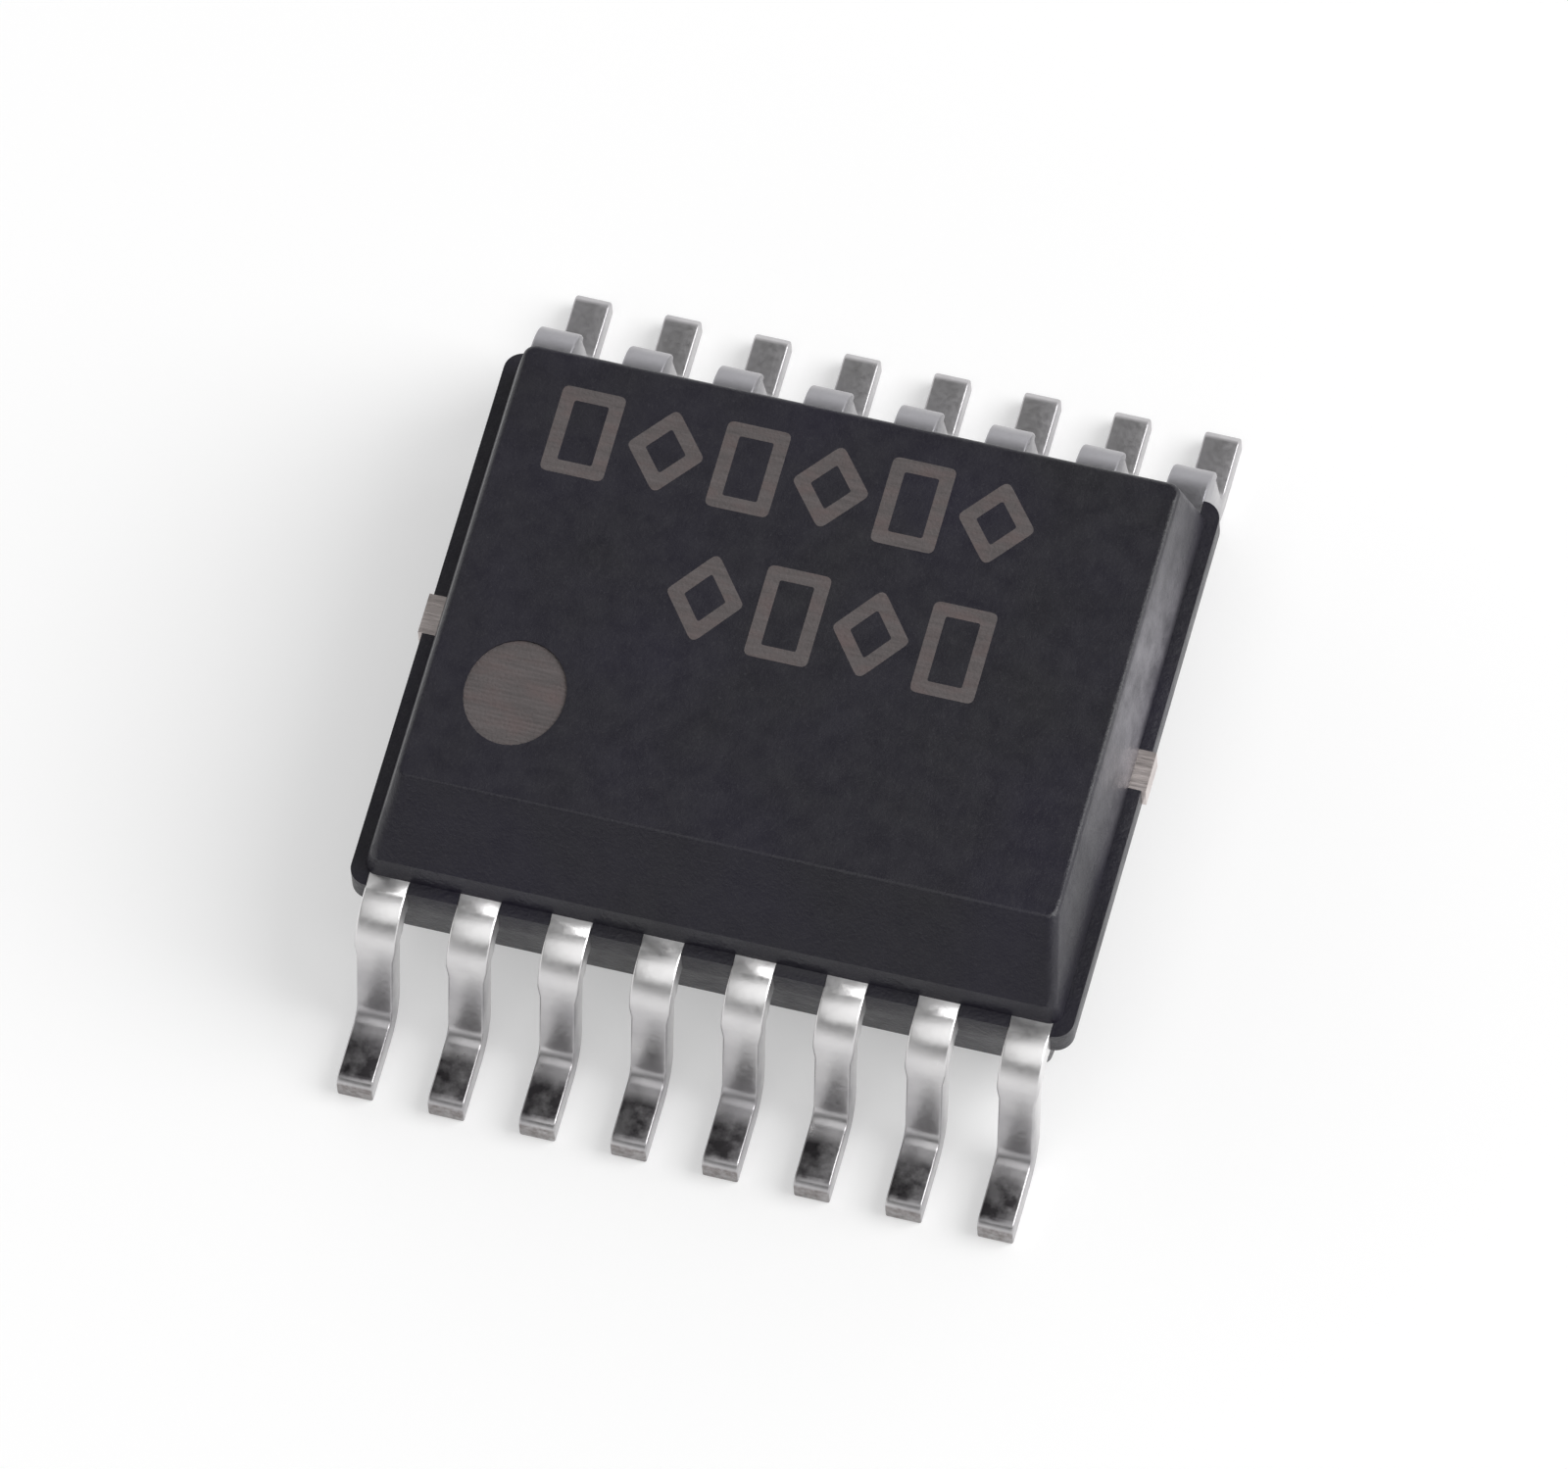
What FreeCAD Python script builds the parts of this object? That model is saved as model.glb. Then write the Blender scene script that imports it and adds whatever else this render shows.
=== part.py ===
import FreeCAD, Part
import math
import os

import Sketcher

# A 16-lead shrink small-outline chip with gull-wing leads, in millimetres. +X runs along the rows of leads,
# +Y to the row of leads 9 to 16, and +Z up. The origin is under the middle of the body, on the plane that the
# feet stand on. Lead 1 is at the left end of the front row, beside the round mark, and the count runs
# anticlockwise from there.

LEADS_PER_SIDE = 8

DIMENSIONS = [
    # moulded body
    ("end_margin", 0.1875, "from the middle of the last lead to the end of the body, 4.82 long in all"),
    ("body_width", 3.96, "body across the rows of leads at the parting plane"),
    ("body_height", 1.55, "body from underside to top"),
    ("standoff", 0.20, "gap between the underside and the plane that the feet stand on"),
    ("upper_draft", 12.0, "slope of the walls above the band, in degrees from upright"),
    ("lower_draft", 10.0, "slope of the walls below the band, in degrees from upright"),
    ("corner_radius", 0.09, "round on the four upright corners above and below the band"),
    ("top_edge_radius", 0.045, "round along the edges of the top face"),
    ("pin_one_chamfer", 0.35, "width, seen from above, of the chamfer along the side of leads 1 to 8"),
    ("band_proud", 0.09, "how far the resin band stands out at the parting plane"),
    ("band_corner_radius", 0.13, "round on the corners of the band"),
    ("dot_radius", 0.345, "round mark at lead 1"),
    ("dot_depth", 0.015, "depth of the round mark"),
    ("dot_from_end", 0.75, "from the end of the body to the middle of the round mark"),
    ("dot_from_side", 1.25, "from the side of the body to the middle of the round mark"),
    ("ejector_radius", 0.50, "round ejector mark in the underside"),
    ("ejector_depth", 0.03, "depth of the ejector mark"),
    # leads
    ("lead_pitch", 0.635, "from the middle of a lead to the middle of the next"),
    ("lead_plane", 1.04, "height of the middle of the lead frame's thickness"),
    ("lead_thickness", 0.20, "thickness of the lead frame"),
    ("lead_width", 0.25, "width of a leg and foot"),
    ("shoulder_width", 0.285, "width of a shoulder, where the dam bar was cut away"),
    ("shoulder_step", 0.10, "height of the slope from shoulder width to leg width"),
    ("shoulder_run", 0.04, "straight part of a lead between the band and its knee"),
    ("bend_radius", 0.11, "inner radius of knee and heel"),
    ("leg_slope", 12.0, "slope of the legs, in degrees from upright"),
    ("foot_length", 0.445, "flat part of a foot, for 6.19 over the toes of both rows"),
    # fingers, the part of each lead inside the resin
    ("lock_cover", 0.09, "resin between the side of the body and a finger's lock"),
    ("lock_width", 0.34, "width of the lock that holds a finger in the resin"),
    ("lock_length", 0.10, "length of the lock"),
    ("finger_tip_pitch", 0.50, "from the middle of a finger tip to the middle of the next"),
    ("finger_tip_width", 0.22, "width of a finger tip"),
    ("finger_tip_length", 0.14, "straight part at a finger tip, where the wire is stitched"),
    ("finger_clearance", 0.22, "gap between the paddle and the finger tips"),
    # paddle
    ("paddle_length", 2.20, "paddle along the rows of leads"),
    ("paddle_width", 2.00, "paddle across the rows of leads"),
    ("paddle_corner", 0.15, "chamfer on the paddle's corners"),
    ("paddle_downset", 0.20, "how far the paddle lies below the fingers"),
    ("downset_slope", 35.0, "slope of the tie bars where they step down, in degrees from level"),
    ("tie_bar_width", 0.30, "width of a tie bar"),
    ("tie_bar_proud", 0.03, "how far a tie bar's cut end stands out of the band"),
    # die and adhesive
    ("die_length", 1.60, "die along the rows of leads"),
    ("die_width", 1.20, "die across the rows of leads"),
    ("die_thickness", 0.28, "thickness of the die"),
    ("attach_margin", 0.05, "adhesive that shows round the die"),
    ("attach_thickness", 0.03, "thickness of the adhesive"),
    # bond wires
    ("wire_diameter", 0.025, "bond wire"),
    ("ball_diameter", 0.07, "ball bond on the die"),
    ("ball_rim", 0.012, "upright rim of the ball bond"),
    ("ball_height", 0.03, "ball bond from the die to the wire's neck"),
    ("bond_end_inset", 0.135, "from the end of the die to the middle of the first bond"),
    ("bond_inset", 0.08, "from the long edge of the die to the middle of a bond"),
    ("loop_height", 0.16, "from the die's face up to the top of a wire's loop"),
    ("loop_sag", 0.03, "how far a loop drops along its level part"),
    ("loop_level_part", 0.45, "length of the level part of a loop"),
    ("stitch_length", 0.06, "flattened end of a wire on a finger"),
    ("stitch_width", 0.045, "width of the flattened end"),
    ("stitch_thickness", 0.012, "thickness of the flattened end"),
]

doc = FreeCAD.newDocument("MultiplexerChip")


# Dimensions: plain numbers in a sheet, and lengths worked out from them

class Size:
    """A number, with the expression over the sheet's cells that gives it."""

    def __init__(self, value, text):
        self.value = value
        self.text = text

    def __add__(self, other):
        other = as_size(other)
        return Size(self.value + other.value, f"({self.text} + {other.text})")

    def __sub__(self, other):
        other = as_size(other)
        return Size(self.value - other.value, f"({self.text} - {other.text})")

    def __mul__(self, other):
        other = as_size(other)
        return Size(self.value * other.value, f"({self.text} * {other.text})")

    def __truediv__(self, other):
        other = as_size(other)
        return Size(self.value / other.value, f"({self.text} / {other.text})")

    def __neg__(self):
        return Size(-self.value, f"(-1 * {self.text})")


def as_size(number):
    return number if isinstance(number, Size) else Size(float(number), repr(float(number)))


def sine(degrees):
    return Size(math.sin(math.radians(degrees.value)), f"sin({degrees.text})")


def cosine(degrees):
    return Size(math.cos(math.radians(degrees.value)), f"cos({degrees.text})")


def tangent(degrees):
    return Size(math.tan(math.radians(degrees.value)), f"tan({degrees.text})")


def bearing(across, along):
    """The angle, in degrees, between a direction and the Y axis."""
    angle = math.degrees(math.atan2(across.value, along.value))
    return Size(angle, f"(atan2({across.text}; {along.text}) / 1deg)")


def distance(across, along):
    return Size(math.hypot(across.value, along.value), f"hypot({across.text}; {along.text})")


def fill_sheet():
    sheet = doc.addObject("Spreadsheet::Sheet", "Sizes")
    for row, (alias, number, meaning) in enumerate(DIMENSIONS, start=1):
        sheet.set(f"A{row}", alias)
        sheet.set(f"B{row}", str(number))
        sheet.set(f"C{row}", meaning)
        sheet.setAlias(f"B{row}", alias)
    doc.recompute()
    return sheet


sheet = fill_sheet()


def cell(alias):
    return Size(float(sheet.get(alias)), f"Sizes.{alias}")


ZERO = as_size(0)
THICKNESS = cell("lead_thickness")
PITCH = cell("lead_pitch")
HALF_LENGTH = PITCH * ((LEADS_PER_SIDE - 1) / 2) + cell("end_margin")
HALF_WIDTH = cell("body_width") / 2
BODY_BOTTOM = cell("standoff")
BODY_TOP = cell("standoff") + cell("body_height")
FRAME_TOP = cell("lead_plane") + THICKNESS / 2
FRAME_BOTTOM = cell("lead_plane") - THICKNESS / 2
PADDLE_TOP = FRAME_TOP - cell("paddle_downset")
PADDLE_BOTTOM = PADDLE_TOP - THICKNESS
DIE_BOTTOM = PADDLE_TOP + cell("attach_thickness")
DIE_TOP = DIE_BOTTOM + cell("die_thickness")
LOCK_OUTER = HALF_WIDTH - cell("lock_cover")
LOCK_INNER = LOCK_OUTER - cell("lock_length")
TIP_REACH = cell("paddle_width") / 2 + cell("finger_clearance")
BOND_REACH = cell("die_width") / 2 - cell("bond_inset")
BOND_PITCH = (cell("die_length") - cell("bond_end_inset") * 2) / (LEADS_PER_SIDE - 1)
STITCH_REACH = TIP_REACH + cell("finger_tip_length") / 2


# Sketches and features

def new_body(name, label):
    body = doc.addObject("PartDesign::Body", name)
    body.Label = label
    return body


def new_sketch(body, name, role, offset=None):
    """A sketch on one of the body's own origin planes, or a distance along that plane's normal."""
    sketch = body.newObject("Sketcher::SketchObject", name)
    plane = next(feature for feature in body.Origin.OriginFeatures if feature.Role == role)
    sketch.AttachmentSupport = [(plane, "")]
    sketch.MapMode = "FlatFace"
    if offset is not None:
        sketch.AttachmentOffset = FreeCAD.Placement(FreeCAD.Vector(0, 0, offset.value), FreeCAD.Rotation())
        sketch.setExpression("AttachmentOffset.Base.z", offset.text)
    return sketch


def bind_constraints(sketch, constraints):
    """Adds the constraints, and ties each one that has a size to its expression."""
    numbers = sketch.addConstraint([constraint for constraint, name, size in constraints])
    for number, (constraint, name, size) in zip(numbers, constraints):
        if size is not None:
            sketch.renameConstraint(number, name)
            sketch.setExpression(f"Constraints.{name}", size.text)


def place_point(geometry, vertex, x, y, name):
    """Constraints that hold one point at (x, y), measured from the sketch's origin."""
    held = []
    for kind, axis, size in (("DistanceX", -2, x), ("DistanceY", -1, y)):
        if size.text == ZERO.text:
            held.append((Sketcher.Constraint("PointOnObject", geometry, vertex, axis), None, None))
        else:
            constraint = Sketcher.Constraint(kind, -1, 1, geometry, vertex, size.value)
            held.append((constraint, f"{kind[-1].lower()}_{name}", size))
    return held


def arc_between(start, finish, centre, radius):
    """The arc of less than half a turn from start to finish, and whether it runs anticlockwise."""
    middle = FreeCAD.Vector(centre[0].value, centre[1].value, 0)
    first = math.atan2(start.y - middle.y, start.x - middle.x)
    last = math.atan2(finish.y - middle.y, finish.x - middle.x)
    turn = (last - first) % (2 * math.pi)
    circle = Part.Circle(middle, FreeCAD.Vector(0, 0, 1), radius.value)
    if turn < math.pi:
        return Part.ArcOfCircle(circle, first, first + turn), True
    return Part.ArcOfCircle(circle, last, last + 2 * math.pi - turn), False


def draw_outline(sketch, corners, arcs=None, closed=True):
    """Sides from corner to corner. arcs gives (radius, centre) for the side that follows a corner's number."""
    arcs = arcs or {}
    sides = len(corners) if closed else len(corners) - 1
    points = [FreeCAD.Vector(x.value, y.value, 0) for x, y in corners]
    ends = []
    constraints = []
    for i in range(sides):
        start = points[i]
        finish = points[(i + 1) % len(points)]
        if i in arcs:
            radius, centre = arcs[i]
            shape, anticlockwise = arc_between(start, finish, centre, radius)
            geometry = sketch.addGeometry(shape, False)
            ends.append((geometry, 1, 2) if anticlockwise else (geometry, 2, 1))
            rounded = Sketcher.Constraint("Radius", geometry, radius.value)
            constraints.append((rounded, f"radius_{i}", radius))
        else:
            geometry = sketch.addGeometry(Part.LineSegment(start, finish), False)
            ends.append((geometry, 1, 2))
    for i in range(sides if closed else sides - 1):
        geometry, _, vertex = ends[i]
        following, next_vertex, _ = ends[(i + 1) % sides]
        joined = Sketcher.Constraint("Coincident", geometry, vertex, following, next_vertex)
        constraints.append((joined, None, None))
    for i in range(sides):
        geometry, vertex, _ = ends[i]
        constraints += place_point(geometry, vertex, corners[i][0], corners[i][1], f"{i}")
    if not closed:
        geometry, _, vertex = ends[-1]
        constraints += place_point(geometry, vertex, corners[-1][0], corners[-1][1], f"{sides}")
    bind_constraints(sketch, constraints)


def draw_circle(sketch, x, y, radius):
    centre = FreeCAD.Vector(x.value, y.value, 0)
    geometry = sketch.addGeometry(Part.Circle(centre, FreeCAD.Vector(0, 0, 1), radius.value), False)
    constraints = place_point(geometry, 3, x, y, "centre")
    constraints.append((Sketcher.Constraint("Radius", geometry, radius.value), "radius", radius))
    bind_constraints(sketch, constraints)


def rectangle(half_x, half_y):
    return [(-half_x, -half_y), (half_x, -half_y), (half_x, half_y), (-half_x, half_y)]


def octagon(across_flats):
    """Corners of a regular octagon with flats along both axes: the section of so fine a wire or ball."""
    reach = across_flats / 2
    half_side = reach * tangent(as_size(180 / 8))
    first = [(reach, -half_side), (reach, half_side), (half_side, reach), (-half_side, reach)]
    return first + [(-x, -y) for x, y in first]


def rounded_rectangle(half_x, half_y, radius):
    """Corners and arcs of a rectangle with round corners, anticlockwise from the lower left."""
    near_x = half_x - radius
    near_y = half_y - radius
    corners = [
        (-near_x, -half_y),
        (near_x, -half_y),
        (half_x, -near_y),
        (half_x, near_y),
        (near_x, half_y),
        (-near_x, half_y),
        (-half_x, near_y),
        (-half_x, -near_y),
    ]
    arcs = {
        1: (radius, (near_x, -near_y)),
        3: (radius, (near_x, near_y)),
        5: (radius, (-near_x, near_y)),
        7: (radius, (-near_x, -near_y)),
    }
    return corners, arcs


def add_pad(body, sketch, name, length, taper=None, downward=False, both_ways=False):
    pad = body.newObject("PartDesign::Pad", name)
    pad.Profile = sketch
    pad.Length = length.value
    pad.setExpression("Length", length.text)
    pad.Reversed = downward
    if both_ways:
        pad.SideType = "Symmetric"
    if taper is not None:
        inward = -taper
        pad.TaperAngle = inward.value
        pad.setExpression("TaperAngle", inward.text)
    return pad


def add_pocket(body, sketch, name, depth=None, upward=False):
    """A pocket of a depth, or through the whole body on both sides of the sketch."""
    pocket = body.newObject("PartDesign::Pocket", name)
    pocket.Profile = sketch
    pocket.Reversed = upward
    if depth is None:
        pocket.Type = "ThroughAll"
        pocket.SideType = "Symmetric"
    else:
        pocket.Length = depth.value
        pocket.setExpression("Length", depth.text)
    return pocket


def add_fillet(body, base, name, edges, radius):
    fillet = body.newObject("PartDesign::Fillet", name)
    fillet.Base = (base, edges)
    fillet.Radius = radius.value
    fillet.setExpression("Radius", radius.text)
    return fillet


def edge_names(shape, wanted):
    """Names of the edges whose two ends satisfy the test."""
    names = []
    for number, edge in enumerate(shape.Edges, start=1):
        ends = [vertex.Point for vertex in edge.Vertexes]
        if len(ends) == 2 and wanted(ends[0], ends[1]):
            names.append(f"Edge{number}")
    return names


# Moulded body

def moulding():
    """The outer form of the resin: a band at the parting plane, and drafted halves above and below it."""
    body = new_body("Moulding", "moulding")
    proud = cell("band_proud")

    band_sketch = new_sketch(body, "BandOutline", "XY_Plane", FRAME_BOTTOM)
    corners, arcs = rounded_rectangle(HALF_LENGTH + proud, HALF_WIDTH + proud, cell("band_corner_radius"))
    draw_outline(band_sketch, corners, arcs)
    add_pad(body, band_sketch, "Band", THICKNESS)

    upper_sketch = new_sketch(body, "UpperOutline", "XY_Plane", FRAME_TOP)
    draw_outline(upper_sketch, rectangle(HALF_LENGTH, HALF_WIDTH))
    add_pad(body, upper_sketch, "UpperHalf", BODY_TOP - FRAME_TOP, taper=cell("upper_draft"))

    lower_sketch = new_sketch(body, "LowerOutline", "XY_Plane", FRAME_BOTTOM)
    draw_outline(lower_sketch, rectangle(HALF_LENGTH, HALF_WIDTH))
    depth = FRAME_BOTTOM - BODY_BOTTOM
    add_pad(body, lower_sketch, "LowerHalf", depth, taper=cell("lower_draft"), downward=True)

    chamfer = pin_one_chamfer(body)
    doc.recompute()
    corner_edges = edge_names(chamfer.Shape, is_corner_edge)
    rounded = add_fillet(body, chamfer, "CornerRounds", corner_edges, cell("corner_radius"))
    doc.recompute()
    top_edges = edge_names(rounded.Shape, is_top_edge)
    add_fillet(body, rounded, "TopRounds", top_edges, cell("top_edge_radius"))

    dot_sketch = new_sketch(body, "DotOutline", "XY_Plane", BODY_TOP)
    dot_x = cell("dot_from_end") - HALF_LENGTH
    dot_y = cell("dot_from_side") - HALF_WIDTH
    draw_circle(dot_sketch, dot_x, dot_y, cell("dot_radius"))
    add_pocket(body, dot_sketch, "PinOneDot", cell("dot_depth"))

    ejector_sketch = new_sketch(body, "EjectorOutline", "XY_Plane", BODY_BOTTOM)
    draw_circle(ejector_sketch, ZERO, ZERO, cell("ejector_radius"))
    add_pocket(body, ejector_sketch, "EjectorMark", cell("ejector_depth"), upward=True)
    return body


def pin_one_chamfer(body):
    """A slope at 45 degrees, cut off the top edge on the side of leads 1 to 8."""
    top_inset = (BODY_TOP - FRAME_TOP) * tangent(cell("upper_draft"))
    edge_y = top_inset - HALF_WIDTH
    width = cell("pin_one_chamfer")
    clear = HALF_WIDTH
    sketch = new_sketch(body, "ChamferProfile", "YZ_Plane")
    draw_outline(sketch, [
        (edge_y + width, BODY_TOP),
        (edge_y + width - clear, BODY_TOP - clear),
        (edge_y + width - clear, BODY_TOP + clear),
        (edge_y + width, BODY_TOP + clear),
    ])
    return add_pocket(body, sketch, "PinOneChamfer")


def is_corner_edge(start, finish):
    """The edges at the four corners of the drafted halves, and the ends of the chamfer."""
    rises = abs(start.z - finish.z) > 0.01
    below_band = max(start.z, finish.z) < FRAME_BOTTOM.value + 0.001
    above_band = min(start.z, finish.z) > FRAME_TOP.value - 0.001
    return rises and (below_band or above_band)


def is_top_edge(start, finish):
    return min(start.z, finish.z) > BODY_TOP.value - 0.001


# Leads

def lead(number):
    """One lead, built as if in the row of leads 9 to 16 and turned half round for the row of leads 1 to 8."""
    label = f"lead_{number:02d}"
    body = new_body(f"Lead{number:02d}", label)
    place, turn = station(number)
    profile = new_sketch(body, f"GullWing{number:02d}", "YZ_Plane")
    draw_gull_wing(profile)
    add_pad(body, profile, f"Strip{number:02d}", cell("shoulder_width"), both_ways=True)
    finger = new_sketch(body, f"FingerOutline{number:02d}", "XY_Plane", FRAME_BOTTOM)
    draw_finger(finger, place * (cell("finger_tip_pitch") - PITCH))
    add_pad(body, finger, f"Finger{number:02d}", THICKNESS)
    for side in (-1, 1):
        name = "Left" if side < 0 else "Right"
        sides = new_sketch(body, f"{name}Trim{number:02d}", "XZ_Plane")
        draw_leg_trim(sides, side)
        add_pocket(body, sides, f"{name}LegSide{number:02d}")
    position = PITCH * place if turn == 0 else -(PITCH * place)
    body.Placement = FreeCAD.Placement(
        FreeCAD.Vector(position.value, 0, 0), FreeCAD.Rotation(FreeCAD.Vector(0, 0, 1), turn))
    body.setExpression("Placement.Base.x", position.text)
    return body


def station(number):
    """A lead's place along the back row, in pitches from the middle, and the turn to its own row."""
    if number > LEADS_PER_SIDE:
        return as_size((3 * LEADS_PER_SIDE + 1) / 2 - number), 0
    return as_size((LEADS_PER_SIDE + 1) / 2 - number), 180


def draw_gull_wing(sketch):
    """The side view of a lead: shoulder, knee, leg, heel and foot, one thickness of strip all the way."""
    inner = cell("bend_radius")
    outer = inner + THICKNESS
    slope = as_size(90) - cell("leg_slope")
    knee = HALF_WIDTH + cell("band_proud") + cell("shoulder_run")
    knee_centre = (knee, FRAME_BOTTOM - inner)
    drop = FRAME_BOTTOM - inner - (THICKNESS + inner)
    leg = (drop + (inner + outer) * cosine(slope)) / sine(slope)
    heel = knee + (inner + outer) * sine(slope) + leg * cosine(slope)
    heel_centre = (heel, THICKNESS + inner)
    toe = heel + cell("foot_length")
    corners = [
        (LOCK_OUTER, FRAME_TOP),
        (knee, FRAME_TOP),
        (knee_centre[0] + outer * sine(slope), knee_centre[1] + outer * cosine(slope)),
        (heel_centre[0] - inner * sine(slope), heel_centre[1] - inner * cosine(slope)),
        (heel, THICKNESS),
        (toe, THICKNESS),
        (toe, ZERO),
        (heel, ZERO),
        (heel_centre[0] - outer * sine(slope), heel_centre[1] - outer * cosine(slope)),
        (knee_centre[0] + inner * sine(slope), knee_centre[1] + inner * cosine(slope)),
        (knee, FRAME_BOTTOM),
        (LOCK_OUTER, FRAME_BOTTOM),
    ]
    arcs = {
        1: (outer, knee_centre),
        3: (inner, heel_centre),
        7: (outer, heel_centre),
        9: (inner, knee_centre),
    }
    draw_outline(sketch, corners, arcs)


def draw_finger(sketch, shift):
    """The plan of a finger: a lock just inside the resin, and a neck that fans over to the tip."""
    shoulder = cell("shoulder_width") / 2
    lock = cell("lock_width") / 2
    neck = cell("lead_width") / 2
    tip = cell("finger_tip_width") / 2
    tip_start = TIP_REACH + cell("finger_tip_length")
    draw_outline(sketch, [
        (-shoulder, LOCK_OUTER),
        (-lock, LOCK_OUTER),
        (-lock, LOCK_INNER),
        (-neck, LOCK_INNER),
        (shift - tip, tip_start),
        (shift - tip, TIP_REACH),
        (shift + tip, TIP_REACH),
        (shift + tip, tip_start),
        (neck, LOCK_INNER),
        (lock, LOCK_INNER),
        (lock, LOCK_OUTER),
        (shoulder, LOCK_OUTER),
    ])


def draw_leg_trim(sketch, side):
    """What is cut from one side of the strip, below the shoulder, to leave the narrower leg and foot."""
    leg = cell("lead_width") / 2 * side
    outside = cell("shoulder_width") * side
    top = FRAME_BOTTOM - cell("bend_radius") / 2
    draw_outline(sketch, [
        (leg, -THICKNESS),
        (outside, -THICKNESS),
        (outside, top),
        (cell("shoulder_width") / 2 * side, top),
        (leg, top - cell("shoulder_step")),
    ])


# Paddle, adhesive and die

def die_paddle():
    """The plate under the die, set down below the fingers, with a tie bar to each end of the body."""
    body = new_body("DiePaddle", "die_paddle")
    half_x = cell("paddle_length") / 2
    half_y = cell("paddle_width") / 2
    cut = cell("paddle_corner")
    plate = new_sketch(body, "PlateOutline", "XY_Plane", PADDLE_BOTTOM)
    draw_outline(plate, [
        (cut - half_x, -half_y),
        (half_x - cut, -half_y),
        (half_x, cut - half_y),
        (half_x, half_y - cut),
        (half_x - cut, half_y),
        (cut - half_x, half_y),
        (-half_x, half_y - cut),
        (-half_x, cut - half_y),
    ])
    add_pad(body, plate, "Plate", THICKNESS)

    rise = cell("paddle_downset") / tangent(cell("downset_slope"))
    shift = THICKNESS * tangent(cell("downset_slope") / 2)
    high = half_x + rise
    end = HALF_LENGTH + cell("band_proud") + cell("tie_bar_proud")
    right_top = [(half_x, PADDLE_TOP), (high, FRAME_TOP), (end, FRAME_TOP)]
    right_bottom = [(end, FRAME_BOTTOM), (high + shift, FRAME_BOTTOM), (half_x + shift, PADDLE_BOTTOM)]
    right = right_top + right_bottom
    left = [(-x, z) for x, z in reversed(right)]
    bars = new_sketch(body, "TieBarProfile", "XZ_Plane")
    draw_outline(bars, right + left)
    add_pad(body, bars, "TieBars", cell("tie_bar_width"), both_ways=True)
    return body


def block(name, label, length, width, height, bottom):
    """A plain block, centred under the middle of the body."""
    box = doc.addObject("Part::Box", name)
    box.Label = label
    for side, size in (("Length", length), ("Width", width), ("Height", height)):
        setattr(box, side, size.value)
        box.setExpression(side, size.text)
    corner = (-(length / 2), -(width / 2), bottom)
    box.Placement.Base = FreeCAD.Vector(*(size.value for size in corner))
    for axis, size in zip("xyz", corner):
        box.setExpression(f"Placement.Base.{axis}", size.text)
    return box


def die_attach():
    margin = cell("attach_margin") * 2
    return block("DieAttach", "die_attach", cell("die_length") + margin, cell("die_width") + margin,
                 cell("attach_thickness"), PADDLE_TOP)


def silicon_die():
    return block("SiliconDie", "silicon_die", cell("die_length"), cell("die_width"), cell("die_thickness"),
                 DIE_BOTTOM)


# Bond wires

def bond_wire(number):
    """Ball bond, neck, loop and stitch, in the upright plane through the bond on the die and its finger tip."""
    label = f"bond_wire_{number:02d}"
    body = new_body(f"BondWire{number:02d}", label)
    place, turn = station(number)
    start_x = place * BOND_PITCH
    across = place * cell("finger_tip_pitch") - start_x
    along = STITCH_REACH - BOND_REACH
    span = distance(across, along)
    radius = cell("wire_diameter") / 2
    neck = DIE_TOP + cell("ball_height")

    rim_top = DIE_TOP + cell("ball_rim")
    foot = new_sketch(body, f"BallOutline{number:02d}", "XY_Plane", DIE_TOP)
    draw_outline(foot, octagon(cell("ball_diameter")))
    add_pad(body, foot, f"BallRim{number:02d}", cell("ball_rim"))
    rim = new_sketch(body, f"RimOutline{number:02d}", "XY_Plane", rim_top)
    draw_outline(rim, octagon(cell("ball_diameter")))
    section = new_sketch(body, f"WireSection{number:02d}", "XY_Plane", neck)
    draw_outline(section, octagon(cell("wire_diameter")))
    cone = body.newObject("PartDesign::AdditiveLoft", f"BallCone{number:02d}")
    cone.Profile = rim
    cone.Sections = [section]
    cone.Ruled = True

    route = new_sketch(body, f"WireRoute{number:02d}", "YZ_Plane")
    top = DIE_TOP + cell("loop_height")
    draw_outline(route, [
        (ZERO, neck),
        (ZERO, top),
        (cell("loop_level_part"), top - cell("loop_sag")),
        (span, FRAME_TOP + radius),
    ], closed=False)
    pipe = body.newObject("PartDesign::AdditivePipe", f"Loop{number:02d}")
    pipe.Profile = section
    pipe.Spine = route
    pipe.Transition = "Right corner"

    stitch = new_sketch(body, f"StitchOutline{number:02d}", "XY_Plane", FRAME_TOP)
    half_width = cell("stitch_width") / 2
    half_length = cell("stitch_length") / 2
    draw_outline(stitch, [
        (-half_width, span - half_length),
        (half_width, span - half_length),
        (half_width, span + half_length),
        (-half_width, span + half_length),
    ])
    add_pad(body, stitch, f"Stitch{number:02d}", cell("stitch_thickness"))

    angle = as_size(turn) - bearing(across, along)
    sign = 1 if turn == 0 else -1
    base_x = start_x * sign
    base_y = BOND_REACH * sign
    body.Placement = FreeCAD.Placement(
        FreeCAD.Vector(base_x.value, base_y.value, 0), FreeCAD.Rotation(FreeCAD.Vector(0, 0, 1), angle.value))
    body.setExpression("Placement.Base.x", base_x.text)
    body.setExpression("Placement.Base.y", base_y.text)
    body.setExpression("Placement.Rotation.Angle", angle.text)
    return body


# Resin round everything that it holds

def mould_body(form, held):
    """The moulding less all that is cast into it, so that resin and metal share their faces."""
    inside = doc.addObject("Part::MultiFuse", "HeldByResin")
    inside.Label = "held_by_resin"
    inside.Shapes = held
    inside.Refine = False
    resin = doc.addObject("Part::Cut", "MouldBody")
    resin.Label = "mould_body"
    resin.Base = form
    resin.Tool = inside
    resin.Refine = False
    return resin


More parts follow.
